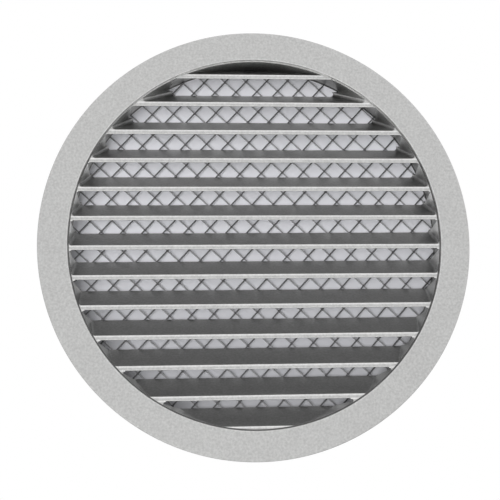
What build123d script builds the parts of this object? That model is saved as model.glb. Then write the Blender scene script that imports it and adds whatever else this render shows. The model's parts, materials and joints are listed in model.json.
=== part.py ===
"""Round outdoor air grille for a wall duct: a one-piece cast louvre with a wire mesh behind its blades.

The frame is the grille's own, as it hangs on the wall. +Z is up, the front faces -Y, and the spigot
runs along +Y into the duct. The origin is on the spigot's axis, in the plane of the flange's back face.
"""
import os
from collections import namedtuple
from math import atan2, ceil, cos, floor, radians, sin, sqrt, tan

from build123d import *

# Duct and spigot
duct_bore = 250.0
duct_clearance = 0.6
spigot_wall = 2.9
spigot_lead_in = 1.0

# Flange ring
flange_diameter = 278.0
flange_thickness = 4.0
flange_edge_radius = 1.2
opening_diameter = 240.0
opening_edge_chamfer = 0.5

# Blades, all alike, with the front edge low and the back edge high
blade_pitch = 19.0
blade_recess = 2.0
blade_depth = 16.7
blade_rise = 10.3
blade_nose = 3.2
blade_tail = 2.4
nose_chamfer = 0.5

# Walls at the blades' ends: front pockets narrow towards the back, back pockets widen towards it
wall_ledge = 0.6
front_wall_narrowing = 1.2
parting_step = 0.2
back_wall_widening = 1.7
corner_fill = 1.8

# Wire mesh, sprung into a groove inside the spigot's rim
wire_diameter = 1.0
wire_sides = 8
mesh_pitch = 10.18
mesh_turn = 47.0
wire_crossing_angle = 90.0
front_wire_shift = -1.45
back_wire_shift = 2.42
weld_clearance = 0.05
mesh_clearance = 0.1
groove_depth = 0.8
groove_end_clearance = 0.3
lip_width = 1.1

# Radii and depths that follow from the sizes above
flange_radius = flange_diameter / 2
opening_radius = opening_diameter / 2
mouth_radius = opening_radius - wall_ledge
spigot_radius = duct_bore / 2 - duct_clearance
lip_radius = spigot_radius - spigot_wall
groove_radius = lip_radius + groove_depth
mesh_radius = groove_radius - groove_end_clearance
mesh_thickness = 2 * wire_diameter + weld_clearance

face_y = -flange_thickness
blade_front = face_y + blade_recess
blade_back = blade_front + blade_depth
groove_end = blade_back + mesh_thickness + 2 * mesh_clearance
spigot_end = groove_end + lip_width
blade_slope = blade_rise / blade_depth

# The blades whose front edge shows inside the walls, counted from the one on the axis
nose_offset = (blade_nose - blade_rise) / 2
top_index = floor((mouth_radius - nose_offset) / blade_pitch)
bottom_index = ceil((-mouth_radius - nose_offset) / blade_pitch)

# How far cutting shapes run past the casting, and how far added ones are sunk into it
cutter_overrun = 2.0
cutter_start = face_y - cutter_overrun
cutter_end = blade_back + cutter_overrun
sunk = 0.5

BladeSection = namedtuple("BladeSection", "front_top front_low back_top back_low")


def blade_section(index):
    """Corners of one blade's section as (y, z), with blade 0 on the axis and positive blades above it."""
    front_top = index * blade_pitch + nose_offset
    back_top = front_top + blade_rise
    return BladeSection(
        (blade_front, front_top),
        (blade_front, front_top - blade_nose),
        (blade_back, back_top),
        (blade_back, back_top - blade_tail),
    )


def upper_face(blade, y):
    """Height of a blade's upper face at one depth, carried on in front of it and behind it."""
    return blade.front_top[1] + (y - blade_front) * blade_slope


def front_wall(y):
    """Radius of the front pockets' end walls at one depth."""
    return mouth_radius - front_wall_narrowing * (y - blade_front) / blade_depth


def back_wall(y):
    """Radius of the back pockets' end walls at one depth."""
    return mouth_radius + parting_step + back_wall_widening * (y - blade_front) / blade_depth


def side_outline(points):
    """A closed outline of (y, z) points, to be extruded sideways."""
    with BuildSketch(Plane.YZ) as outline:
        with BuildLine():
            Polyline(*points, close=True)
        make_face()
    return outline.sketch


def wall_outline(wall):
    """Half section of the round space inside one of the walls."""
    with BuildSketch(Plane.XY) as outline:
        with BuildLine():
            Polyline(
                (0, cutter_start),
                (wall(cutter_start), cutter_start),
                (wall(cutter_end), cutter_end),
                (0, cutter_end),
                close=True,
            )
        make_face()
    return outline.sketch


def front_pocket(below, above_z):
    """Space above one blade's upper face, up to the line from its back edge to the next front edge."""
    space = side_outline([
        (cutter_start, upper_face(below, cutter_start)),
        below.back_top,
        (blade_front, above_z),
        (cutter_start, above_z),
    ])
    round_space = wall_outline(front_wall)
    with BuildPart() as pocket:
        extrude(space, amount=flange_radius, both=True)
        revolve(round_space, axis=Axis.Y, mode=Mode.INTERSECT)
    return pocket.part


def back_pocket(below, above):
    """Space under one blade, behind the line from its front edge to the back edge of the blade below."""
    space = side_outline([
        above.front_low,
        above.back_low,
        (cutter_end, above.back_low[1]),
        (cutter_end, below.back_top[1]),
        below.back_top,
    ])
    round_space = wall_outline(back_wall)
    with BuildPart() as pocket:
        extrude(space, amount=flange_radius, both=True)
        revolve(round_space, axis=Axis.Y, mode=Mode.INTERSECT)
    return pocket.part


def nose_bevels(blade):
    """Slivers that take the sharp edges off the front of one blade, above and below."""
    inset = blade_front + nose_chamfer
    underside = (blade.back_low[1] - blade.front_low[1]) / blade_depth
    upper = side_outline([
        (cutter_start, blade.front_top[1] - nose_chamfer / 2),
        (blade_front, blade.front_top[1] - nose_chamfer / 2),
        (inset, upper_face(blade, inset)),
        (cutter_start, upper_face(blade, inset)),
    ])
    lower = side_outline([
        (cutter_start, blade.front_low[1] + nose_chamfer),
        (blade_front, blade.front_low[1] + nose_chamfer),
        (inset, blade.front_low[1] + underside * nose_chamfer),
        (cutter_start, blade.front_low[1] + underside * nose_chamfer),
    ])
    round_space = wall_outline(front_wall)
    with BuildPart() as slivers:
        extrude(upper, amount=flange_radius, both=True)
        extrude(lower, amount=flange_radius, both=True)
        revolve(round_space, axis=Axis.Y, mode=Mode.INTERSECT)
    return slivers.part


def fill_section(blade, y, side):
    """Section at one depth of the metal in the corner between a blade's upper face and the end wall."""
    z = upper_face(blade, y)
    x = sqrt(front_wall(y) ** 2 - z**2)
    wall_angle = atan2(x, z)
    reach = corner_fill / tan(wall_angle / 2)
    top = z + reach * sin(wall_angle)
    outside = sqrt(back_wall(y) ** 2 - z**2) + sunk
    corners = [
        (x - reach, z),
        (x - reach * cos(wall_angle), top),
        (outside, top),
        (outside, z - sunk),
    ]
    with BuildSketch(Plane((0, y, 0), x_dir=(1, 0, 0), z_dir=(0, -1, 0))) as section:
        with BuildLine():
            Polyline(*[(side * across, up) for across, up in corners], close=True)
        make_face()
    return section.sketch


def end_fill(blade, side):
    """Metal that rounds off the corner at one end of a blade, from its front edge to its back edge."""
    sections = [fill_section(blade, y, side) for y in (blade_front, blade_back)]
    with BuildPart() as fill:
        loft(sections, ruled=True)
    return fill.part


# Blades from the top one down; the top and bottom ones run out into the wall and have no end fills
blades = [blade_section(index) for index in range(top_index, bottom_index - 1, -1)]
pockets = [front_pocket(blades[0], blades[0].front_low[1] + blade_pitch)]
for upper_blade, lower_blade in zip(blades, blades[1:]):
    pockets.append(front_pocket(lower_blade, upper_blade.front_low[1]))
    pockets.append(back_pocket(lower_blade, upper_blade))
end_fills = [end_fill(blade, side) for blade in blades[1:-1] for side in (-1, 1)]
noses = [nose_bevels(blade) for blade in blades]

# One casting: flange, spigot, blades and the walls between them
with BuildPart() as louvre_casting:
    with BuildSketch(Plane.XY) as ring_section:
        with BuildLine():
            Polyline(
                (0, blade_front),
                (opening_radius, blade_front),
                (opening_radius, face_y),
                (flange_radius, face_y),
                (flange_radius, 0),
                (spigot_radius, 0),
                (spigot_radius, spigot_end),
                (lip_radius, spigot_end),
                (lip_radius, groove_end),
                (groove_radius, groove_end),
                (groove_radius, blade_back),
                (0, blade_back),
                close=True,
            )
        make_face()
        fillet(ring_section.vertices().sort_by_distance((flange_radius, face_y))[0], flange_edge_radius)
        chamfer(ring_section.vertices().sort_by_distance((opening_radius, face_y))[0], opening_edge_chamfer)
        chamfer(ring_section.vertices().sort_by_distance((spigot_radius, spigot_end))[0], spigot_lead_in)
    revolve(axis=Axis.Y)
    for pocket in pockets:
        add(pocket, mode=Mode.SUBTRACT)
    for fill in end_fills:
        add(fill)
    for nose in noses:
        add(nose, mode=Mode.SUBTRACT)


def mesh_wire(direction, offset, layer_y):
    """One straight wire at an offset from the axis, cut to length inside the groove."""
    along = (cos(radians(direction)), 0, sin(radians(direction)))
    middle = (-offset * along[2], layer_y, offset * along[0])
    half_length = sqrt(mesh_radius**2 - (abs(offset) + wire_diameter / 2) ** 2)
    with BuildPart() as wire:
        with BuildSketch(Plane(origin=middle, x_dir=(0, 1, 0), z_dir=along)):
            RegularPolygon(wire_diameter / 2, wire_sides, major_radius=False, rotation=180 / wire_sides)
        extrude(amount=half_length, both=True)
    return wire.part


# Wire mesh: two layers of straight wires, welded where they cross
wires_each_side = int(mesh_radius / mesh_pitch) + 1
wires = []
for layer, shift in enumerate((front_wire_shift, back_wire_shift)):
    layer_turn = mesh_turn + layer * wire_crossing_angle
    layer_y = blade_back + mesh_clearance + wire_diameter / 2 + layer * (wire_diameter + weld_clearance)
    for step in range(-wires_each_side, wires_each_side + 1):
        wire_offset = shift + step * mesh_pitch
        if abs(wire_offset) < mesh_radius - 2 * wire_diameter:
            wires.append(mesh_wire(layer_turn, wire_offset, layer_y))

with BuildPart() as wire_mesh:
    add(wires)

os.makedirs("parts", exist_ok=True)
louvre_casting.part.label = "louvre_casting"
export_step(louvre_casting.part, "parts/louvre_casting.step")
wire_mesh.part.label = "wire_mesh"
export_step(wire_mesh.part, "parts/wire_mesh.step")
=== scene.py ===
"""Outdoor air grille: a soft-edged aluminium casting and a welded wire mesh.

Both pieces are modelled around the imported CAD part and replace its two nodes.
"""
import json
from math import atan2, ceil, cos, floor, hypot, pi, radians, sin, sqrt, tan

import bmesh
import bpy
from bpy.props import FloatProperty, FloatVectorProperty, IntProperty, PointerProperty
from bpy.types import Operator, Panel, PropertyGroup
from mathutils import Matrix, Vector


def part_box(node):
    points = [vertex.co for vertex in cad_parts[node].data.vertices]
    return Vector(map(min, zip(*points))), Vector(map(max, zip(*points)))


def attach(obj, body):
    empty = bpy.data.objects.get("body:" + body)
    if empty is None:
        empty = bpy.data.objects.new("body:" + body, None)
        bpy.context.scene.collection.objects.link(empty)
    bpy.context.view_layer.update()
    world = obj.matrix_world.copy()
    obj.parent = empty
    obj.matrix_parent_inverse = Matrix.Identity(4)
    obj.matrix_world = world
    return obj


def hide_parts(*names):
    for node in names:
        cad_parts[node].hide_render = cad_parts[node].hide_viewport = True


bl_info = {
    "name": "Outdoor air grille",
    "version": (1, 0, 0),
    "blender": (4, 5, 0),
    "location": "3D View > Sidebar > Grille",
    "description": "Models a round cast wall grille with its wire mesh, and a plain white stage for it",
    "category": "Object",
}

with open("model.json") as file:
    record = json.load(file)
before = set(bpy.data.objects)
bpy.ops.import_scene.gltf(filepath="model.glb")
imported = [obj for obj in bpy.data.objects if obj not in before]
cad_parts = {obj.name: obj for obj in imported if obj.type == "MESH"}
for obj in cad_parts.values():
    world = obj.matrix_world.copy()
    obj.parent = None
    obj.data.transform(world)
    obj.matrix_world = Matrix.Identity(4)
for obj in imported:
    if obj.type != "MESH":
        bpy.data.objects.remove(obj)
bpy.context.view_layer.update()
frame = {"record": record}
casting_low, casting_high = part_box("louvre_casting")
mesh_low, mesh_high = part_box("wire_mesh")
spigot_mount = next(mount for mount in frame["record"]["mounts"] if mount["name"] == "duct_spigot")

MM = 0.001
SAME_PLACE = 1e-5
RING_PLAY = 5 * SAME_PLACE
MERGE_PLAY = SAME_PLACE / 10
CUT_PLAY = SAME_PLACE / 100
STRAIGHT = 0.9  # a face looks along an axis when this much of its normal does

# Steps round the rounded edges of the flange, the opening and the back, and of a wire's ends
FLANGE_SEGMENTS, OPENING_SEGMENTS, BACK_SEGMENTS, WIRE_END_SEGMENTS = 5, 3, 2, 2
WIRE_END_ROUND = 0.3  # rounding of a wire's ends, as a share of its half diameter
BEAD_SEGMENTS, BEAD_RINGS = 8, 4
CASTING_SMOOTH, WIRE_SMOOTH = 35, 40  # degrees, edges flatter than this are shaded smooth
FACE_WEIGHT = 100  # how strongly larger faces lead the shading

# Scale, detail and roughness of each noise, and how far it moves a tone
GRAIN_NOISE = (700.0, 3.0, 0.6)
CLOUD_NOISE = (45.0, 4.0, 0.55)
SKIN_NOISE = (420.0, 4.0, 0.6)
PATCH_NOISE = (320.0, 3.0, 0.6)
NOISE_LOW, NOISE_HIGH = 0.3, 0.7  # most of a noise lies between these
GRAIN_PLAY, CLOUD_PLAY, ROUGHNESS_PLAY = 0.13, 0.03, 0.05
PATCH_TONES = (0.8, 1.2)
SKIN_STRENGTH, SKIN_DEPTH = 0.25, 0.2 * MM
WIRE_METALLIC = 0.8
WIRE_ROUGHNESS = (0.4, 0.55)

# Soft edges of the marks on the casting; depths count from the blades' fronts
SOFT = 0.1 * MM
FRONT_DEPTH = (0.2 * MM, 0.8 * MM)
HIGHLIGHT_INSET = (1.2 * MM, 0.3 * MM)  # in from a blade's upper and lower edge
RIM_WIDTH = (0.5 * MM, 0.8 * MM)  # out from the opening
RIM_DEPTH = (-1.6 * MM, -1.3 * MM)
RIM_HIGHLIGHT_LESS = 3  # the rim's painted highlight is this many times weaker than the blades'
CORNER_DEPTH = (-0.8 * MM, -0.2 * MM)
CORNER_HEIGHT = (0.45, 0.85)  # in radii of the opening
PARTING_DEPTH = (0.8 * MM, 1.2 * MM)
# Faces that the painted shade and painted light pick by the way they look
FRONT_LIT_FACES = (-0.9, -0.6)  # how far a face looks to the back
WALL_FACES = (0.2, 0.4)
SHADED_FACES = (-0.1, 0.4)  # how far a face looks up
LIT_FACES = (0.0, 0.3)

DISC_STEPS = 96
PAPER_FALL = (-0.9, 0.1)  # heights between which the paper gets paler upwards, a painted shade, in paper radii
FLOOR_FADE = (0.2, 0.6)  # distances between which the floor turns white, in floor radii
SKY_COLOUR = (0.95, 0.97, 1.0, 1.0)
WHITE = (1.0, 1.0, 1.0, 1.0)
FRONT_LIGHT_PLACE, FRONT_LIGHT_SIZE = (-0.45, -1.3, -0.1), (1.2, 0.8)
LOW_LIGHT_PLACE, LOW_LIGHT_SIZE = (-0.35, -0.7, -0.5), (0.7, 0.7)
SENSOR_WIDTH = 36.0
CLIP_START, CLIP_END = 0.01, 50.0


def length(label, text, millimetres):
    """A length property, with its default given in millimetres."""
    return FloatProperty(
        name=label, description=text, default=millimetres * MM, min=0.0, unit="LENGTH", precision=5
    )


def displacement(label, text, millimetres):
    """A length property that may be negative."""
    return FloatProperty(name=label, description=text, default=millimetres * MM, unit="LENGTH", precision=5)


def share(label, text, amount):
    """A property between none and all."""
    return FloatProperty(name=label, description=text, default=amount, min=0.0, max=1.0, subtype="FACTOR")


def count(label, text, number, least):
    """A property for a number of steps or sides."""
    return IntProperty(name=label, description=text, default=number, min=least)


def turning(label, text, degrees):
    """An angle property, with its default given in degrees."""
    return FloatProperty(name=label, description=text, default=radians(degrees), subtype="ANGLE")


def power(label, text, watts):
    """A property for a light's power."""
    return FloatProperty(name=label, description=text, default=watts, min=0.0, unit="POWER")


def colour(label, text, rgb):
    """A colour property."""
    return FloatVectorProperty(
        name=label, description=text, default=rgb, min=0.0, max=1.0, size=3, subtype="COLOR"
    )


class CastingSettings(PropertyGroup):
    """Sizes and finish of the one-piece louvre."""

    flange_diameter: length("Flange diameter", "Outside of the flange ring", 2 * casting_high.x / MM)
    flange_thickness: length("Flange thickness", "From the flange's face to the wall", -casting_low.y / MM)
    opening_diameter: length("Opening diameter", "Inside diameter of the flange ring", 240.0)
    spigot_diameter: length("Spigot diameter", "Outside of the spigot", 2 * spigot_mount["dims"]["r_mm"])
    spigot_reach: length("Spigot reach", "From the wall to the spigot's rim", casting_high.y / MM)
    spigot_wall: length("Spigot wall", "Wall thickness at the rim's lip", 2.9)
    lip_width: length("Lip width", "Width of the lip that holds the mesh in", 1.1)
    groove_depth: length("Groove depth", "Depth of the mesh's groove behind the lip", 0.8)
    lead_in: length("Lead-in", "Chamfer on the spigot's end", 1.0)
    blade_pitch: length("Blade pitch", "From one blade to the next", 19.0)
    blade_recess: length("Blade recess", "How far the blades lie behind the flange's face", 2.0)
    blade_depth: length("Blade depth", "From the blades' front edge to their back edge", 16.7)
    blade_rise: length("Blade rise", "How much higher the back edge is than the front edge", 10.3)
    blade_nose: length("Blade front", "Thickness of the front edge", 3.2)
    blade_tail: length("Blade back", "Thickness of the back edge", 2.4)
    wall_ledge: length("Wall ledge", "Ledge between the opening and the blades' end walls", 0.6)
    front_narrowing: length("Front narrowing", "How much the front pockets narrow to the back", 1.2)
    parting_step: length("Parting step", "Step where the front and back pockets meet", 0.2)
    back_widening: length("Back widening", "How much the back pockets widen to the back", 1.7)
    flange_round: length("Flange rounding", "Rounding of the flange's outer edge", 1.2)
    edge_round: length("Edge rounding", "Rounding of the blades' front edges and the opening", 0.5)
    corner_round: length("Corner rounding", "Rounding in the corners at the blades' ends", 1.8)
    ceiling_round: length("Ceiling rounding", "Rounding in the corners under the blades", 1.3)
    cutter_overrun: length("Cutter overrun", "How far cutters run past the casting", 2.0)
    parting_overlap: length("Parting overlap", "How far back pockets reach into front pockets", 0.05)
    sunk: length("Sunk", "How far added metal is sunk into the casting", 0.5)
    ring_steps: count("Ring steps", "Steps around the ring", 256, 32)
    cutter_steps: count("Cutter steps", "Steps around a cutter", 240, 32)
    corner_steps: count("Corner steps", "Steps around a rounded corner", 4, 1)
    fill_steps: count("Fill steps", "Steps along a rounded corner", 5, 1)
    metal_colour: colour("Metal colour", "Colour of the cast metal", (0.56, 0.56, 0.555))
    # painted highlight: how much brighter the blades' front edges and the opening's rim are
    edge_highlight: share("Highlighted edges", "How much brighter the blades' highlighted edges are", 0.5)
    # painted shade on all faces that don't look to the front
    side_shade: share("Side shade tone", "Tone of all faces but the unshaded front ones", 0.82)
    # painted shade on the faces in the gaps that look up
    gap_shade: share("Gap tone", "Tone of the dusty faces in the gaps, which look up", 0.56)
    # painted shadow in the corner inside the flange
    corner_shadow: share("Corner shadow", "How dark the corner inside the flange is", 0.72)
    # painted light on the end walls near the front
    wall_light: share("Wall shine", "How much brighter the lit end walls are near the front", 0.9)
    # painted shade at the gaps' ends, behind the parting line
    back_shade: share("Back shade", "How dark the gaps' ends are behind the parting line", 0.6)
    roughness: share("Roughness", "Roughness of the cast skin", 0.42)


class MeshSettings(PropertyGroup):
    """Sizes and finish of the wire mesh."""

    wire_diameter: length("Wire diameter", "Diameter of one wire", 1.0)
    wire_pitch: length("Wire pitch", "From one wire to the next", 10.18)
    mesh_radius: length("Mesh radius", "Radius that the wires are cut to", 122.0)
    turn: turning("Turn", "Turn of the front wires from level", 47.0)
    front_shift: displacement("Front shift", "Offset of the front wires from the axis", -1.45)
    back_shift: displacement("Back shift", "Offset of the back wires from the axis", 2.42)
    wire_sides: count("Wire sides", "Sides of a round wire", 14, 6)
    wire_colour: colour("Wire colour", "Colour of the zinc skin", (0.5, 0.5, 0.51))
    # painted shade on the front wires
    front_wire_shade: share("Front tone", "Tone of the shadowed front wires", 0.4)
    weld_size: length("Weld size", "Half width of a weld bead", 0.85)
    weld_flat: share("Weld flatness", "Depth of a bead over its width", 0.5)


class StageSettings(PropertyGroup):
    """Light, paper, floor and camera."""

    paper_radius: length("Paper radius", "Radius of the paper over the spigot's mouth", 122.2)
    paper_gap: length("Paper gap", "From the spigot's rim to the paper", 0.05)
    paper_glow: share("Paper glow", "Light that comes through the paper", 0.06)
    paper_clear: share("Paper clearness", "How much reflections see through the paper", 0.5)
    paper_colour: colour("Paper colour", "Colour of the paper behind the grille", (0.86, 0.86, 0.9))
    # painted shade on the paper towards the floor
    painted_paper_shade: share("Paper shade", "How pale the paper stays towards the floor", 0.6)
    floor_colour: colour("Floor colour", "Colour of the floor", (0.95, 0.95, 0.94))
    floor_radius: length("Floor radius", "Radius of the floor", 3000.0)
    floor_drop: length("Floor drop", "From the grille's middle down to the floor", 600.0)
    floor_glow: share("Floor glow", "How white the floor shows in the shade", 0.6)
    front_power: power("Front light", "Power of the front light", 11.4)
    low_power: power("Low light", "Power of the low light", 1.8)
    ambient: share("Ambient", "Strength of the light from all round", 0.2)
    camera_place: FloatVectorProperty(
        name="Camera",
        description="Place of the camera",
        default=(-0.0301, -0.4515, -0.0678),
        subtype="TRANSLATION",
    )
    camera_yaw: turning("Yaw", "Turn to the right", 3.27)
    camera_pitch: turning("Pitch", "Tilt upwards", 7.70)
    camera_roll: turning("Roll", "Turn about the view", 0.73)
    lens: FloatProperty(name="Lens", description="Focal length", default=50.98, unit="CAMERA")


def start_fresh():
    """Leaves edit mode and deselects everything."""
    if bpy.context.object and bpy.context.object.mode != "OBJECT":
        bpy.ops.object.mode_set(mode="OBJECT")
    bpy.ops.object.select_all(action="DESELECT")


def edit(piece, mode="FACE"):
    """Enters edit mode on one piece, with nothing selected."""
    start_fresh()
    piece.select_set(True)
    bpy.context.view_layer.objects.active = piece
    bpy.ops.object.mode_set(mode="EDIT")
    bpy.ops.mesh.select_mode(type=mode)
    bpy.ops.mesh.select_all(action="DESELECT")


def done():
    """Leaves edit mode."""
    bpy.ops.object.mode_set(mode="OBJECT")


def pick_faces(test):
    """Selects the faces of the piece in edit mode that pass a test."""
    bpy.ops.mesh.select_all(action="DESELECT")
    shape = bmesh.from_edit_mesh(bpy.context.object.data)
    for face in shape.faces:
        face.select = test(face)
    shape.select_flush_mode()
    bmesh.update_edit_mesh(bpy.context.object.data)


def pick_edges(test):
    """Selects the edges of the piece in edit mode that pass a test, and tells how many there are."""
    bpy.ops.mesh.select_mode(type="EDGE")
    bpy.ops.mesh.select_all(action="DESELECT")
    shape = bmesh.from_edit_mesh(bpy.context.object.data)
    found = [edge for edge in shape.edges if test(edge)]
    for edge in found:
        edge.select = True
    shape.select_flush_mode()
    bmesh.update_edit_mesh(bpy.context.object.data)
    return len(found)


def radius_of(place):
    """Distance of a point from the spigot's axis."""
    return hypot(place.x, place.z)


def on_ring(edge, radius, y):
    """True for an edge of the ring at one radius and depth."""
    return all(
        abs(radius_of(v.co) - radius) < RING_PLAY and abs(v.co.y - y) < SAME_PLACE for v in edge.verts
    )


def round_cone(name, front_radius, back_radius, front_y, back_y, steps):
    """A new cone or cylinder along +Y."""
    start_fresh()
    bpy.ops.mesh.primitive_cone_add(
        vertices=steps,
        radius1=front_radius,
        radius2=back_radius,
        depth=back_y - front_y,
        end_fill_type="NGON",
        location=(0, (front_y + back_y) / 2, 0),
        rotation=(-pi / 2, 0, 0),
    )
    piece = bpy.context.object
    piece.name = name
    bpy.ops.object.transform_apply(location=True, rotation=True, scale=True)
    return piece


def apply_modifier(piece, kind, **settings):
    """Adds a modifier to a piece and applies it."""
    start_fresh()
    piece.select_set(True)
    bpy.context.view_layer.objects.active = piece
    bpy.ops.object.modifier_add(type=kind)
    modifier = piece.modifiers[-1]
    for key, value in settings.items():
        setattr(modifier, key, value)
    bpy.ops.object.modifier_apply(modifier=modifier.name)


def own_copy(piece):
    """A copy of a piece with its own mesh."""
    twin = piece.copy()
    twin.data = piece.data.copy()
    bpy.context.collection.objects.link(twin)
    return twin


def join(pieces, name):
    """Joins pieces into one."""
    start_fresh()
    for piece in pieces:
        piece.select_set(True)
    bpy.context.view_layer.objects.active = pieces[0]
    bpy.ops.object.join()
    pieces[0].name = name
    return pieces[0]


def smooth(piece, degrees):
    """Smooth shading over edges flatter than an angle, led by the larger faces."""
    start_fresh()
    piece.select_set(True)
    bpy.context.view_layer.objects.active = piece
    bpy.ops.object.shade_smooth_by_angle(angle=radians(degrees))
    apply_modifier(piece, "WEIGHTED_NORMAL", keep_sharp=True, weight=FACE_WEIGHT)


class BladeRow:
    """Places along one blade's section, worked out from the casting's settings."""

    def __init__(self, s, index):
        self.front_y = s.blade_recess - s.flange_thickness
        self.back_y = self.front_y + s.blade_depth
        self.front_top = index * s.blade_pitch + (s.blade_nose - s.blade_rise) / 2
        self.front_low = self.front_top - s.blade_nose
        self.back_top = self.front_top + s.blade_rise
        self.back_low = self.back_top - s.blade_tail


class Nodes:
    """Builds the node tree of a material or a world by short calls."""

    def __init__(self, owner):
        owner.use_nodes = True
        self.tree = owner.node_tree
        self.tree.nodes.clear()

    def add(self, kind, **settings):
        """A new node."""
        node = self.tree.nodes.new(kind)
        for key, value in settings.items():
            setattr(node, key, value)
        return node

    def link(self, source, target):
        """Joins an output to an input."""
        self.tree.links.new(source, target)

    def math(self, operation, *values):
        """A calculation with numbers and outputs."""
        node = self.add("ShaderNodeMath", operation=operation)
        for socket, value in zip(node.inputs, values):
            if isinstance(value, (int, float)):
                socket.default_value = value
            else:
                self.link(value, socket)
        return node.outputs[0]

    def product(self, first, *others):
        """Values multiplied. With marks, this is what lies in all of them."""
        for other in others:
            first = self.math("MULTIPLY", first, other)
        return first

    def without(self, tone, mark):
        """A tone, taken down where a mark is."""
        return self.product(tone, self.math("SUBTRACT", 1.0, mark))

    def split(self, vector):
        """The X, Y and Z of a vector."""
        node = self.add("ShaderNodeSeparateXYZ")
        self.link(vector, node.inputs[0])
        return node.outputs["X"], node.outputs["Y"], node.outputs["Z"]

    def distance(self, first, second):
        """Distance from an axis, out of the two coordinates across it."""
        pair = self.add("ShaderNodeCombineXYZ")
        self.link(first, pair.inputs["X"])
        self.link(second, pair.inputs["Y"])
        node = self.add("ShaderNodeVectorMath", operation="LENGTH")
        self.link(pair.outputs[0], node.inputs[0])
        return node.outputs["Value"]

    def noise(self, coordinates, scale, detail, rough):
        """A noise on the given coordinates."""
        node = self.add("ShaderNodeTexNoise")
        node.inputs["Scale"].default_value = scale
        node.inputs["Detail"].default_value = detail
        node.inputs["Roughness"].default_value = rough
        self.link(coordinates, node.inputs["Vector"])
        return node.outputs["Fac"]

    def spread(self, value, low, high, from_low=NOISE_LOW, from_high=NOISE_HIGH):
        """A value moved from one range, a noise's unless it is given, to another."""
        node = self.add("ShaderNodeMapRange")
        node.inputs["From Min"].default_value = from_low
        node.inputs["From Max"].default_value = from_high
        node.inputs["To Min"].default_value = low
        node.inputs["To Max"].default_value = high
        self.link(value, node.inputs["Value"])
        return node.outputs["Result"]

    def under(self, value, start, end, amount=1.0):
        """A mark where a value is under an edge, which is soft from start to end."""
        return self.spread(value, amount, 0.0, start, end)

    def over(self, value, start, end, amount=1.0):
        """A mark where a value is over an edge, which is soft from start to end."""
        return self.spread(value, 0.0, amount, start, end)

    def tinted(self, rgb, tone):
        """A colour times a tone."""
        node = self.add("ShaderNodeVectorMath", operation="SCALE")
        node.inputs[0].default_value = rgb
        self.link(tone, node.inputs["Scale"])
        return node.outputs["Vector"]

    def mixed(self, amount, first, second):
        """One shader turning into another by an amount."""
        node = self.add("ShaderNodeMixShader")
        for socket, source in zip(node.inputs, (amount, first, second)):
            self.link(source, socket)
        return node.outputs[0]

    def added(self, first, second):
        """Two shaders' light together."""
        node = self.add("ShaderNodeAddShader")
        self.link(first, node.inputs[0])
        self.link(second, node.inputs[1])
        return node.outputs[0]

    def finish(self, shader, kind="ShaderNodeOutputMaterial"):
        """Joins a shader to the tree's output."""
        self.link(shader, self.add(kind).inputs["Surface"])


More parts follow.
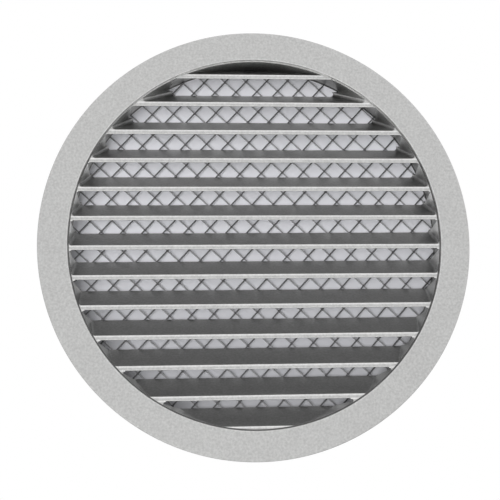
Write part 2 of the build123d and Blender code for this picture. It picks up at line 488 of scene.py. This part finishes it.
class PaintedLightMarks:
    """Painted highlights, light and shade on the casting's colour, found by their place and by which way a
    face looks.
    """

    def __init__(self, s, nodes, place):
        self.s, self.nodes = s, nodes
        across, self.depth, self.height = nodes.split(place)
        self.radius = nodes.distance(across, self.height)
        normal = nodes.add("ShaderNodeNewGeometry").outputs["Normal"]
        _, self.looks_back, self.looks_up = nodes.split(normal)
        self.row = BladeRow(s, 0)
        self.opening = s.opening_diameter / 2
        self.mouth = self.opening - s.wall_ledge
        self.lip = s.spigot_diameter / 2 - s.spigot_wall
        self.at_front = self.before(*FRONT_DEPTH)

    def before(self, start, end):
        """A mark up to a depth, counted from the blades' fronts."""
        return self.nodes.under(self.depth, self.row.front_y + start, self.row.front_y + end)

    def behind(self, start, end):
        """A mark from a depth on, counted from the blades' fronts."""
        return self.nodes.over(self.depth, self.row.front_y + start, self.row.front_y + end)

    def inside_lip(self, amount):
        """A mark on all that lies inside the lip's radius."""
        return self.nodes.under(self.radius, self.lip - SOFT, self.lip + SOFT, amount)

    def painted_edge_highlights(self):
        """Painted highlights along the blades' front edges and the opening's rim."""
        s, nodes, half = self.s, self.nodes, self.s.blade_nose / 2
        up = nodes.math("SUBTRACT", self.height, self.row.front_low)
        up = nodes.math("FLOORED_MODULO", up, s.blade_pitch)
        off_centre = nodes.math("ABSOLUTE", nodes.math("SUBTRACT", up, half))
        highlight_start, highlight_end = (half - inset for inset in HIGHLIGHT_INSET)
        # painted highlight along the upper and lower edges of each blade's front
        edges = nodes.product(
            nodes.over(off_centre, highlight_start, highlight_end, s.edge_highlight),
            nodes.under(off_centre, half, half + 2 * SOFT),
            nodes.under(self.radius, self.mouth - SOFT, self.mouth),
            self.at_front,
        )
        # painted highlight on the opening's rim
        rim_start, rim_end = (self.opening + width for width in RIM_WIDTH)
        rim = nodes.product(
            nodes.under(self.radius, rim_start, rim_end, s.edge_highlight / RIM_HIGHLIGHT_LESS),
            self.before(*RIM_DEPTH),
        )
        return nodes.math("ADD", edges, rim)

    def painted_flange_shadow(self):
        """Painted shadow: a dark line inside the flange, thinning out towards the top."""
        nodes = self.nodes
        thin_start, thin_end = (height * self.opening for height in CORNER_HEIGHT)
        return nodes.product(
            nodes.over(self.radius, self.mouth - SOFT, self.mouth, self.s.corner_shadow),
            nodes.under(self.radius, self.opening, self.opening + SOFT),
            self.behind(*CORNER_DEPTH),
            self.at_front,
            nodes.under(self.height, thin_start, thin_end),
        )

    def painted_gap_shade(self):
        """Painted shade on the faces inside the gaps that look up."""
        nodes = self.nodes
        shaded = nodes.product(
            self.inside_lip(1.0 - self.s.gap_shade),
            nodes.over(self.looks_up, *SHADED_FACES),
        )
        return nodes.without(shaded, self.at_front)

    def painted_wall_light(self):
        """Painted light on the end walls near the front, on faces that don't look up."""
        nodes = self.nodes
        return nodes.product(
            nodes.under(nodes.math("ABSOLUTE", self.looks_back), *WALL_FACES, self.s.wall_light),
            nodes.under(self.looks_up, *LIT_FACES),
            self.before(0.0, self.s.blade_depth / 2),
            self.inside_lip(1.0),
        )

    def painted_back_shade(self):
        """Painted shade at the gaps' ends, behind the parting line and in the mesh's groove."""
        nodes, rim = self.nodes, self.s.spigot_reach
        groove = self.lip + self.s.groove_depth
        return nodes.product(
            nodes.over(self.radius, self.mouth + 0.5 * SOFT, self.mouth + 1.5 * SOFT, self.s.back_shade),
            nodes.under(self.radius, groove + SOFT, groove + 3 * SOFT),
            self.behind(*PARTING_DEPTH),
            nodes.under(self.depth, rim - 4 * SOFT, rim - SOFT),
        )

    def shade_by_facing(self):
        """Painted shade: full tone on the faces that look to the front, a darker tone on the rest."""
        return self.nodes.spread(self.looks_back, 1.0, self.s.side_shade, *FRONT_LIT_FACES)


def cast_metal(s):
    """Matt cast aluminium with fine grain and soft clouds, plus painted highlights on the edges, painted
    shade on faces away from the front, in the gaps and corners, and painted light on the end walls.
    """
    material = bpy.data.materials.new("cast_aluminium")
    nodes = Nodes(material)
    place = nodes.add("ShaderNodeTexCoord").outputs["Object"]
    marks = PaintedLightMarks(s, nodes, place)
    grain = nodes.noise(place, *GRAIN_NOISE)
    clouds = nodes.noise(place, *CLOUD_NOISE)
    skin = nodes.noise(place, *SKIN_NOISE)
    tone = nodes.math(
        "ADD",
        nodes.spread(grain, -GRAIN_PLAY, GRAIN_PLAY),
        nodes.spread(clouds, 1.0 - CLOUD_PLAY, 1.0 + CLOUD_PLAY),
    )
    # painted highlights on the blades' front edges and the opening's rim
    tone = nodes.math("ADD", tone, marks.painted_edge_highlights())
    # painted shadow along the corner inside the flange
    tone = nodes.without(tone, marks.painted_flange_shadow())
    # painted shade on every face that doesn't look to the front
    tone = nodes.product(tone, marks.shade_by_facing())
    # painted shade on the faces in the gaps that look up
    tone = nodes.without(tone, marks.painted_gap_shade())
    # painted light on the end walls near the front
    tone = nodes.product(tone, nodes.math("ADD", 1.0, marks.painted_wall_light()))
    # painted shade at the gaps' ends and in the mesh's groove
    tone = nodes.without(tone, marks.painted_back_shade())
    bump = nodes.add("ShaderNodeBump")
    bump.inputs["Strength"].default_value = SKIN_STRENGTH
    bump.inputs["Distance"].default_value = SKIN_DEPTH
    nodes.link(skin, bump.inputs["Height"])
    rough = nodes.spread(clouds, s.roughness - ROUGHNESS_PLAY, s.roughness + ROUGHNESS_PLAY)
    shader = nodes.add("ShaderNodeBsdfPrincipled")
    shader.inputs["Metallic"].default_value = 1.0
    nodes.link(nodes.tinted(s.metal_colour, tone), shader.inputs["Base Color"])
    nodes.link(rough, shader.inputs["Roughness"])
    nodes.link(bump.outputs["Normal"], shader.inputs["Normal"])
    nodes.finish(shader.outputs["BSDF"])
    return material


def zinc_wire(s):
    """Dull galvanised wire with a patchy skin; the front wires are darker, a painted shade."""
    material = bpy.data.materials.new("galvanised_wire")
    nodes = Nodes(material)
    place = nodes.add("ShaderNodeTexCoord").outputs["Object"]
    patches = nodes.noise(place, *PATCH_NOISE)
    _, depth, _ = nodes.split(place)
    middle = (mesh_low.y + mesh_high.y) / 2
    # painted shade: the front wires are darker than the back wires
    layer = nodes.spread(depth, s.front_wire_shade, 1.0, middle - SOFT, middle + SOFT)
    tone = nodes.product(layer, nodes.spread(patches, *PATCH_TONES))
    shader = nodes.add("ShaderNodeBsdfPrincipled")
    shader.inputs["Metallic"].default_value = WIRE_METALLIC
    nodes.link(nodes.tinted(s.wire_colour, tone), shader.inputs["Base Color"])
    nodes.link(nodes.spread(patches, *WIRE_ROUGHNESS), shader.inputs["Roughness"])
    nodes.finish(shader.outputs["BSDF"])
    return material


def casting_blank(s):
    """Flange, spigot and the solid disc that the blades are cut from."""
    flange, opening, spigot = s.flange_diameter / 2, s.opening_diameter / 2, s.spigot_diameter / 2
    lip = spigot - s.spigot_wall
    groove = lip + s.groove_depth
    lip_y = s.spigot_reach - s.lip_width
    blade_back = s.blade_recess - s.flange_thickness + s.blade_depth
    blank = round_cone("louvre", flange, flange, -s.flange_thickness, 0.0, s.ring_steps)
    edit(blank)
    pick_faces(lambda face: face.normal.y < -STRAIGHT)
    bpy.ops.mesh.inset(thickness=flange - opening)
    bpy.ops.mesh.extrude_region_move(TRANSFORM_OT_translate={"value": (0, s.blade_recess, 0)})
    pick_faces(lambda face: face.normal.y > STRAIGHT)
    bpy.ops.mesh.inset(thickness=flange - spigot)
    bpy.ops.mesh.extrude_region_move(TRANSFORM_OT_translate={"value": (0, s.spigot_reach - s.lead_in, 0)})
    bpy.ops.mesh.extrude_region_move(TRANSFORM_OT_translate={"value": (0, s.lead_in, 0)})
    shrink = 1 - s.lead_in / spigot
    bpy.ops.transform.resize(value=(shrink, 1, shrink), center_override=(0, 0, 0))
    bpy.ops.mesh.inset(thickness=spigot - s.lead_in - lip)
    bpy.ops.mesh.extrude_region_move(TRANSFORM_OT_translate={"value": (0, -s.lip_width, 0)})
    bpy.ops.mesh.extrude_region_move(TRANSFORM_OT_translate={"value": (0, 0, 0)})
    bpy.ops.transform.resize(value=(groove / lip, 1, groove / lip), center_override=(0, 0, 0))
    bpy.ops.mesh.extrude_region_move(TRANSFORM_OT_translate={"value": (0, blade_back - lip_y, 0)})
    for radius, y, size, segments in (
        (flange, -s.flange_thickness, s.flange_round, FLANGE_SEGMENTS),
        (opening, -s.flange_thickness, s.edge_round, OPENING_SEGMENTS),
        (flange, 0.0, s.edge_round, BACK_SEGMENTS),
        (spigot, s.spigot_reach - s.lead_in, s.edge_round, BACK_SEGMENTS),
    ):
        if not pick_edges(lambda edge: on_ring(edge, radius, y)):
            raise RuntimeError(f"the ring has no edge at radius {radius:.4f} and depth {y:.4f}")
        bpy.ops.mesh.bevel(offset=size, segments=segments, affect="EDGES", clamp_overlap=False)
    bpy.ops.mesh.select_all(action="SELECT")
    bpy.ops.mesh.normals_make_consistent(inside=False)
    done()
    return blank


def pocket(s, name, front_radius, back_radius, planes):
    """A cutter: the round space inside the end walls, cut off by planes."""
    front_y = s.blade_recess - s.flange_thickness
    start = -s.flange_thickness - s.cutter_overrun
    end = front_y + s.blade_depth + s.cutter_overrun
    per_depth = (back_radius - front_radius) / s.blade_depth
    cutter = round_cone(
        name,
        front_radius + (start - front_y) * per_depth,
        front_radius + (end - front_y) * per_depth,
        start,
        end,
        s.cutter_steps,
    )
    edit(cutter)
    for place, normal in planes:
        bpy.ops.mesh.select_all(action="SELECT")
        bpy.ops.mesh.bisect(
            plane_co=place, plane_no=normal, use_fill=True, clear_outer=True, threshold=CUT_PLAY
        )
    done()
    return cutter


def drawn_bar(name, outlines):
    """A bar drawn through outlines: a filled circle is shaped, extruded and shaped again."""
    start_fresh()
    bpy.ops.mesh.primitive_circle_add(vertices=len(outlines[0]), radius=1.0, fill_type="NGON")
    bar = bpy.context.object
    bar.name = name
    cap = 0
    for number, outline in enumerate(outlines):
        edit(bar)
        shape = bmesh.from_edit_mesh(bar.data)
        shape.faces.ensure_lookup_table()
        shape.faces[cap].select = True
        if number:
            bpy.ops.mesh.extrude_region_move(TRANSFORM_OT_translate={"value": (0, 0, 0)})
            shape = bmesh.from_edit_mesh(bar.data)
        end = next(face for face in shape.faces if face.select)
        for corner, place in zip(end.verts, outline):
            corner.co = place
        shape.faces.index_update()
        cap = end.index
        bmesh.update_edit_mesh(bar.data)
        done()
    edit(bar)
    bpy.ops.mesh.select_all(action="SELECT")
    bpy.ops.mesh.normals_make_consistent(inside=False)
    done()
    return bar


def arc(centre, size, first, last, steps):
    """Points round a centre, the short way from one place to another."""
    start = atan2(first.y - centre.y, first.x - centre.x)
    sweep = atan2(last.y - centre.y, last.x - centre.x) - start
    sweep = (sweep + pi) % (2 * pi) - pi
    turns = [start + sweep * step / steps for step in range(steps + 1)]
    return [(centre.x + size * cos(turn), centre.y + size * sin(turn)) for turn in turns]


def corner_reach(size, x, z, lift):
    """How far a rounded corner reaches along the blade and up the wall, and the corner's angle."""
    wall = atan2(x, lift * z)
    return size / tan(wall / 2), wall


def corner_outline(s, size, z, inner, outer, y, side, lift):
    """Section of the metal that fills the corner between a blade and the end wall, hollow and round."""
    x = sqrt(inner**2 - z**2)
    reach, wall = corner_reach(size, x, z, lift)
    centre = Vector((x - reach, z + lift * size))
    first = Vector((x - reach, z))
    last = Vector((x - reach * cos(wall), z + lift * reach * sin(wall)))
    outside = sqrt(outer**2 - z**2) + s.sunk
    points = arc(centre, size, first, last, s.corner_steps)
    points += [(outside, last.y), (outside, z - lift * s.sunk), (x - reach, z - lift * s.sunk)]
    return [(side * across, y, up) for across, up in points]


def nose_outline(s, row, x, lower):
    """Section of the sliver that rounds a blade's front edge, above or below."""
    if lower:
        corner = Vector((row.front_y, row.front_low))
        face = Vector((0, 1))
        back = Vector((s.blade_depth, row.back_low - row.front_low)).normalized()
    else:
        corner = Vector((row.front_y, row.front_top))
        face = Vector((0, -1))
        back = Vector((s.blade_depth, s.blade_rise)).normalized()
    half = face.angle(back) / 2
    reach = s.edge_round / tan(half)
    centre = corner + (face + back).normalized() * (s.edge_round / sin(half))
    first, last = corner + face * reach, corner + back * reach
    away = (corner - centre).normalized() * s.edge_round
    points = arc(centre, s.edge_round, first, last, s.corner_steps)
    points += [tuple(place + away) for place in (last, corner, first)]
    return [(x, depth, up) for depth, up in points]


class GRILLE_OT_louvre(Operator):
    """Model the one-piece casting: flange, spigot and sloping blades"""

    bl_idname = "grille.louvre"
    bl_label = "Cast louvre"

    def execute(self, context):
        s = context.scene.grille_casting
        blank = casting_blank(s)
        mouth = s.opening_diameter / 2 - s.wall_ledge
        middle = (s.blade_nose - s.blade_rise) / 2
        top = floor((mouth - middle) / s.blade_pitch)
        bottom = ceil((-mouth - middle) / s.blade_pitch)
        rows = [BladeRow(s, index) for index in range(top, bottom - 1, -1)]
        self.cut(blank, self.front_pockets(s, rows, mouth), "DIFFERENCE")
        self.cut(blank, self.back_pockets(s, rows, mouth), "DIFFERENCE")
        self.cut(blank, self.corner_fills(s, rows, mouth), "UNION")
        self.cut(blank, self.nose_slivers(s, rows, mouth), "DIFFERENCE")
        edit(blank, "VERT")
        bpy.ops.mesh.select_all(action="SELECT")
        bpy.ops.mesh.remove_doubles(threshold=MERGE_PLAY)
        bpy.ops.mesh.dissolve_degenerate(threshold=MERGE_PLAY)
        done()
        smooth(blank, CASTING_SMOOTH)
        blank.data.materials.clear()
        blank.data.materials.append(cast_metal(s))
        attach(blank, "root")
        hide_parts("louvre_casting")
        return {"FINISHED"}

    def cut(self, blank, shapes, operation):
        """Cuts shapes out of the blank, or adds them to it."""
        cutter = join(shapes, "cutter")
        apply_modifier(blank, "BOOLEAN", operation=operation, solver="MANIFOLD", object=cutter)
        bpy.data.objects.remove(cutter)

    def front_pockets(self, s, rows, mouth):
        """Spaces above the blades, narrowing towards the back."""
        shapes = []
        for number, row in enumerate(rows):
            above = rows[number - 1].front_low if number else row.front_low + s.blade_pitch
            shapes.append(pocket(s, "front", mouth, mouth - s.front_narrowing, [
                ((0, row.front_y, row.front_top), (0, s.blade_rise, -s.blade_depth)),
                ((0, row.front_y, above), (0, above - row.back_top, s.blade_depth)),
                ((0, row.front_y, above), (0, 0, 1)),
            ]))
        return shapes

    def back_pockets(self, s, rows, mouth):
        """Spaces under the blades, widening towards the back."""
        radius = mouth + s.parting_step
        shapes = []
        for upper, row in zip(rows, rows[1:]):
            under = upper.back_low - upper.front_low
            shapes.append(pocket(s, "back", radius, radius + s.back_widening, [
                ((0, upper.front_y, upper.front_low), (0, -under, s.blade_depth)),
                ((0, row.front_y - s.parting_overlap, upper.front_low),
                 (0, row.back_top - upper.front_low, -s.blade_depth)),
                ((0, row.back_y, row.back_top), (0, 0, -1)),
                ((0, row.back_y, upper.back_low), (0, 0, 1)),
            ]))
        return shapes

    def corner_fills(self, s, rows, mouth):
        """Rounded corners between the blades and the end walls."""
        shapes = []
        for side in (-1, 1):
            for row in rows[1:-1]:
                shapes.append(self.floor_fill(s, row, mouth, side))
            for row in rows[:-1]:
                shapes.append(self.ceiling_fill(s, row, mouth, side))
        return shapes

    def floor_fill(self, s, row, mouth, side):
        """Rounded corner along a blade's upper face."""
        outlines = []
        for step in range(s.fill_steps + 1):
            along = step / s.fill_steps
            outlines.append(corner_outline(
                s,
                s.corner_round,
                row.front_top + s.blade_rise * along,
                mouth - s.front_narrowing * along,
                mouth + s.parting_step + s.back_widening * along,
                row.front_y + s.blade_depth * along,
                side,
                1,
            ))
        return drawn_bar("fill", outlines)

    def ceiling_fill(self, s, row, mouth, side):
        """Rounded corner along a blade's underside."""
        outlines = []
        for step in range(s.fill_steps + 1):
            along = step / s.fill_steps
            radius = mouth + s.parting_step + s.back_widening * along
            outlines.append(corner_outline(
                s,
                s.ceiling_round,
                row.front_low + (row.back_low - row.front_low) * along,
                radius,
                radius,
                row.front_y + s.blade_depth * along,
                side,
                -1,
            ))
        return drawn_bar("fill", outlines)

    def nose_slivers(self, s, rows, mouth):
        """Slivers that round the blades' front edges."""
        shapes = []
        for row in rows:
            floor_round = s.corner_round if row in rows[1:-1] else 0.0
            for height, lower, size in (
                (row.front_top, False, floor_round),
                (row.front_low, True, s.ceiling_round),
            ):
                if abs(height) > mouth - s.edge_round:
                    continue
                half = sqrt(mouth**2 - height**2)
                half -= corner_reach(size, half, height, -1 if lower else 1)[0]
                shapes.append(drawn_bar("sliver", [nose_outline(s, row, x, lower) for x in (-half, half)]))
        return shapes


class GRILLE_OT_mesh(Operator):
    """Model the welded wire mesh behind the blades"""

    bl_idname = "grille.mesh"
    bl_label = "Wire mesh"

    def execute(self, context):
        s = context.scene.grille_mesh
        thin = s.wire_diameter / 2
        first = self.short_wire(s)
        wires, middles = [], []
        for turn, shift, depth in (
            (s.turn, s.front_shift, mesh_low.y + thin),
            (s.turn + pi / 2, s.back_shift, mesh_high.y - thin),
        ):
            across = Vector((-sin(turn), 0, cos(turn)))
            offsets = self.offsets(s, shift)
            middles.append([across * offset for offset in offsets])
            for offset in offsets:
                place = across * offset + Vector((0, depth, 0))
                half = sqrt(s.mesh_radius**2 - (abs(offset) + thin) ** 2)
                wires.append(self.long_wire(s, first, turn, place, half))
        bpy.data.objects.remove(first)
        piece = join(wires + self.welds(s, *middles), "mesh_wires")
        smooth(piece, WIRE_SMOOTH)
        piece.data.materials.clear()
        piece.data.materials.append(zinc_wire(s))
        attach(piece, "root")
        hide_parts("wire_mesh")
        return {"FINISHED"}

    def short_wire(self, s):
        """A short upright wire with eased ends."""
        thin = s.wire_diameter / 2
        start_fresh()
        bpy.ops.mesh.primitive_cylinder_add(vertices=s.wire_sides, radius=thin, depth=2 * s.wire_pitch)
        wire = bpy.context.object
        edit(wire)
        pick_faces(lambda face: abs(face.normal.z) > STRAIGHT)
        bpy.ops.mesh.bevel(
            offset=WIRE_END_ROUND * thin, segments=WIRE_END_SEGMENTS, affect="EDGES", clamp_overlap=False
        )
        done()
        return wire

    def offsets(self, s, shift):
        """How far the wires of one layer lie from the axis."""
        reach = int(s.mesh_radius / s.wire_pitch) + 1
        offsets = [shift + step * s.wire_pitch for step in range(-reach, reach + 1)]
        return [offset for offset in offsets if abs(offset) <= s.mesh_radius - 2 * s.wire_diameter]

    def long_wire(self, s, short, turn, place, half):
        """A copy of the short wire, drawn out to its length, turned and put in its place."""
        wire = own_copy(short)
        for vertex in wire.data.vertices:
            vertex.co.z += (half - s.wire_pitch) * (1 if vertex.co.z > 0 else -1)
        along = Vector((cos(turn), 0, sin(turn)))
        wire.data.transform(Matrix.Translation(place) @ along.to_track_quat("Z", "Y").to_matrix().to_4x4())
        return wire

    def welds(self, s, fronts, backs):
        """A small flat bead wherever two wires cross."""
        start_fresh()
        bpy.ops.mesh.primitive_uv_sphere_add(
            segments=BEAD_SEGMENTS, ring_count=BEAD_RINGS, radius=s.weld_size
        )
        first = bpy.context.object
        beads = []
        middle = Vector((0, (mesh_low.y + mesh_high.y) / 2, 0))
        for front in fronts:
            for back in backs:
                place = front + back + middle
                if radius_of(place) > s.mesh_radius - 2 * s.weld_size:
                    continue
                bead = own_copy(first)
                bead.data.transform(Matrix.Translation(place) @ Matrix.Diagonal((1, s.weld_flat, 1, 1)))
                beads.append(bead)
        bpy.data.objects.remove(first)
        return beads


class GRILLE_OT_stage(Operator):
    """Set the paper, floor, lights, world and camera"""

    bl_idname = "grille.stage"
    bl_label = "White stage"

    def execute(self, context):
        s = context.scene.grille_stage
        scene = context.scene
        scene.view_settings.view_transform = "Standard"
        self.paper(s)
        self.floor(s)
        self.world(scene, s)
        self.lights(s)
        self.camera(scene, s)
        return {"FINISHED"}

    def disc(self, name, radius, place, turn):
        """A round sheet of the stage."""
        start_fresh()
        bpy.ops.mesh.primitive_circle_add(
            vertices=DISC_STEPS, radius=radius, fill_type="NGON", location=place, rotation=turn
        )
        piece = bpy.context.object
        piece.name = name
        bpy.ops.object.transform_apply(location=True, rotation=True, scale=True)
        return piece

    def shown(self, nodes):
        """One for rays that show a white background: from the camera, in reflections and through glass."""
        path = nodes.add("ShaderNodeLightPath").outputs
        shown = nodes.math("MAXIMUM", path["Is Camera Ray"], path["Is Glossy Ray"])
        return nodes.math("MAXIMUM", shown, path["Is Transmission Ray"])

    def paper(self, s):
        """White paper over the spigot's mouth, clear from behind and half clear in reflections."""
        place = (0, casting_high.y + s.paper_gap, 0)
        sheet = self.disc("backing_paper", s.paper_radius, place, (pi / 2, 0, 0))
        material = bpy.data.materials.new("backing_paper")
        nodes = Nodes(material)
        _, _, height = nodes.split(nodes.add("ShaderNodeTexCoord").outputs["Object"])
        # painted shade: the paper darkens towards the floor
        low, high = (fall * s.paper_radius for fall in PAPER_FALL)
        shade = nodes.tinted(s.paper_colour, nodes.spread(height, s.painted_paper_shade, 1.0, low, high))
        diffuse = nodes.add("ShaderNodeBsdfDiffuse")
        nodes.link(shade, diffuse.inputs["Color"])
        glow = nodes.add("ShaderNodeEmission")
        nodes.link(shade, glow.inputs["Color"])
        nodes.link(nodes.product(self.shown(nodes), s.paper_glow), glow.inputs["Strength"])
        clear = nodes.add("ShaderNodeBsdfTransparent")
        from_behind = nodes.add("ShaderNodeNewGeometry").outputs["Backfacing"]
        reflected = nodes.product(nodes.add("ShaderNodeLightPath").outputs["Is Glossy Ray"], s.paper_clear)
        nodes.finish(nodes.mixed(
            nodes.math("MAXIMUM", from_behind, reflected),
            nodes.added(diffuse.outputs[0], glow.outputs[0]),
            clear.outputs[0],
        ))
        sheet.data.materials.append(material)

    def floor(self, s):
        """Pale floor well below the hanging grille, which pales to white far out."""
        sheet = self.disc("floor", s.floor_radius, (0, 0, -s.floor_drop), (0, 0, 0))
        material = bpy.data.materials.new("pale_floor")
        nodes = Nodes(material)
        across, along, _ = nodes.split(nodes.add("ShaderNodeTexCoord").outputs["Object"])
        start, end = (fade * s.floor_radius for fade in FLOOR_FADE)
        far = nodes.over(nodes.distance(across, along), start, end)
        shown = self.shown(nodes)
        diffuse = nodes.add("ShaderNodeBsdfDiffuse")
        diffuse.inputs["Color"].default_value = (*s.floor_colour, 1)
        pale = nodes.add("ShaderNodeEmission")
        pale.inputs["Color"].default_value = (*s.floor_colour, 1)
        nodes.link(nodes.product(shown, s.floor_glow), pale.inputs["Strength"])
        white = nodes.add("ShaderNodeEmission")
        white.inputs["Color"].default_value = WHITE
        near = nodes.added(diffuse.outputs[0], pale.outputs[0])
        nodes.finish(nodes.mixed(nodes.product(shown, far), near, white.outputs[0]))
        sheet.data.materials.append(material)

    def world(self, scene, s):
        """White to the camera and in reflections, and a low light from all round."""
        scene.world = bpy.data.worlds.new("studio")
        nodes = Nodes(scene.world)
        low = nodes.add("ShaderNodeBackground")
        low.inputs["Color"].default_value = SKY_COLOUR
        low.inputs["Strength"].default_value = s.ambient
        white = nodes.add("ShaderNodeBackground")
        white.inputs["Color"].default_value = WHITE
        mix = nodes.mixed(self.shown(nodes), low.outputs[0], white.outputs[0])
        nodes.finish(mix, "ShaderNodeOutputWorld")

    def lights(self, s):
        """Two broad soft lights, in front and low on the left, which reflections don't show."""
        for name, energy, place, size in (
            ("front_light", s.front_power, FRONT_LIGHT_PLACE, FRONT_LIGHT_SIZE),
            ("low_light", s.low_power, LOW_LIGHT_PLACE, LOW_LIGHT_SIZE),
        ):
            lamp = bpy.data.lights.new(name, "AREA")
            lamp.shape = "RECTANGLE"
            lamp.size, lamp.size_y = size
            lamp.energy = energy
            light = bpy.data.objects.new(name, lamp)
            bpy.context.scene.collection.objects.link(light)
            light.location = place
            light.rotation_euler = (-Vector(place)).to_track_quat("-Z", "Y").to_euler()
            light.visible_camera = False
            light.visible_glossy = False

    def camera(self, scene, s):
        """Camera at the place and angle of the photograph."""
        data = bpy.data.cameras.new("camera")
        data.sensor_width = SENSOR_WIDTH
        data.lens = s.lens
        data.clip_start, data.clip_end = CLIP_START, CLIP_END
        camera = bpy.data.objects.new("camera", data)
        scene.collection.objects.link(camera)
        right = Vector((cos(s.camera_yaw), -sin(s.camera_yaw), 0))
        ahead = Vector((
            sin(s.camera_yaw) * cos(s.camera_pitch),
            cos(s.camera_yaw) * cos(s.camera_pitch),
            sin(s.camera_pitch),
        ))
        down = ahead.cross(right)
        across = right * cos(s.camera_roll) + down * sin(s.camera_roll)
        up = right * sin(s.camera_roll) - down * cos(s.camera_roll)
        turn = Matrix((across, up, -ahead)).transposed()
        camera.matrix_world = Matrix.Translation(s.camera_place) @ turn.to_4x4()
        scene.camera = camera


class GRILLE_PT_sidebar(Panel):
    """Pieces of the grille and their settings"""

    bl_idname = "GRILLE_PT_sidebar"
    bl_label = "Air grille"
    bl_space_type = "VIEW_3D"
    bl_region_type = "UI"
    bl_category = "Grille"

    def draw(self, context):
        for operator, settings in (
            (GRILLE_OT_louvre, context.scene.grille_casting),
            (GRILLE_OT_mesh, context.scene.grille_mesh),
            (GRILLE_OT_stage, context.scene.grille_stage),
        ):
            box = self.layout.box()
            box.operator(operator.bl_idname)
            for name in settings.__annotations__:
                box.prop(settings, name)


CLASSES = (
    CastingSettings,
    MeshSettings,
    StageSettings,
    GRILLE_OT_louvre,
    GRILLE_OT_mesh,
    GRILLE_OT_stage,
    GRILLE_PT_sidebar,
)


def register():
    for item in CLASSES:
        bpy.utils.register_class(item)
    bpy.types.Scene.grille_casting = PointerProperty(type=CastingSettings)
    bpy.types.Scene.grille_mesh = PointerProperty(type=MeshSettings)
    bpy.types.Scene.grille_stage = PointerProperty(type=StageSettings)


def unregister():
    del bpy.types.Scene.grille_stage
    del bpy.types.Scene.grille_mesh
    del bpy.types.Scene.grille_casting
    for item in reversed(CLASSES):
        bpy.utils.unregister_class(item)


def main():
    register()
    bpy.ops.grille.louvre()
    bpy.ops.grille.mesh()
    bpy.ops.grille.stage()


if __name__ == "__main__":
    main()
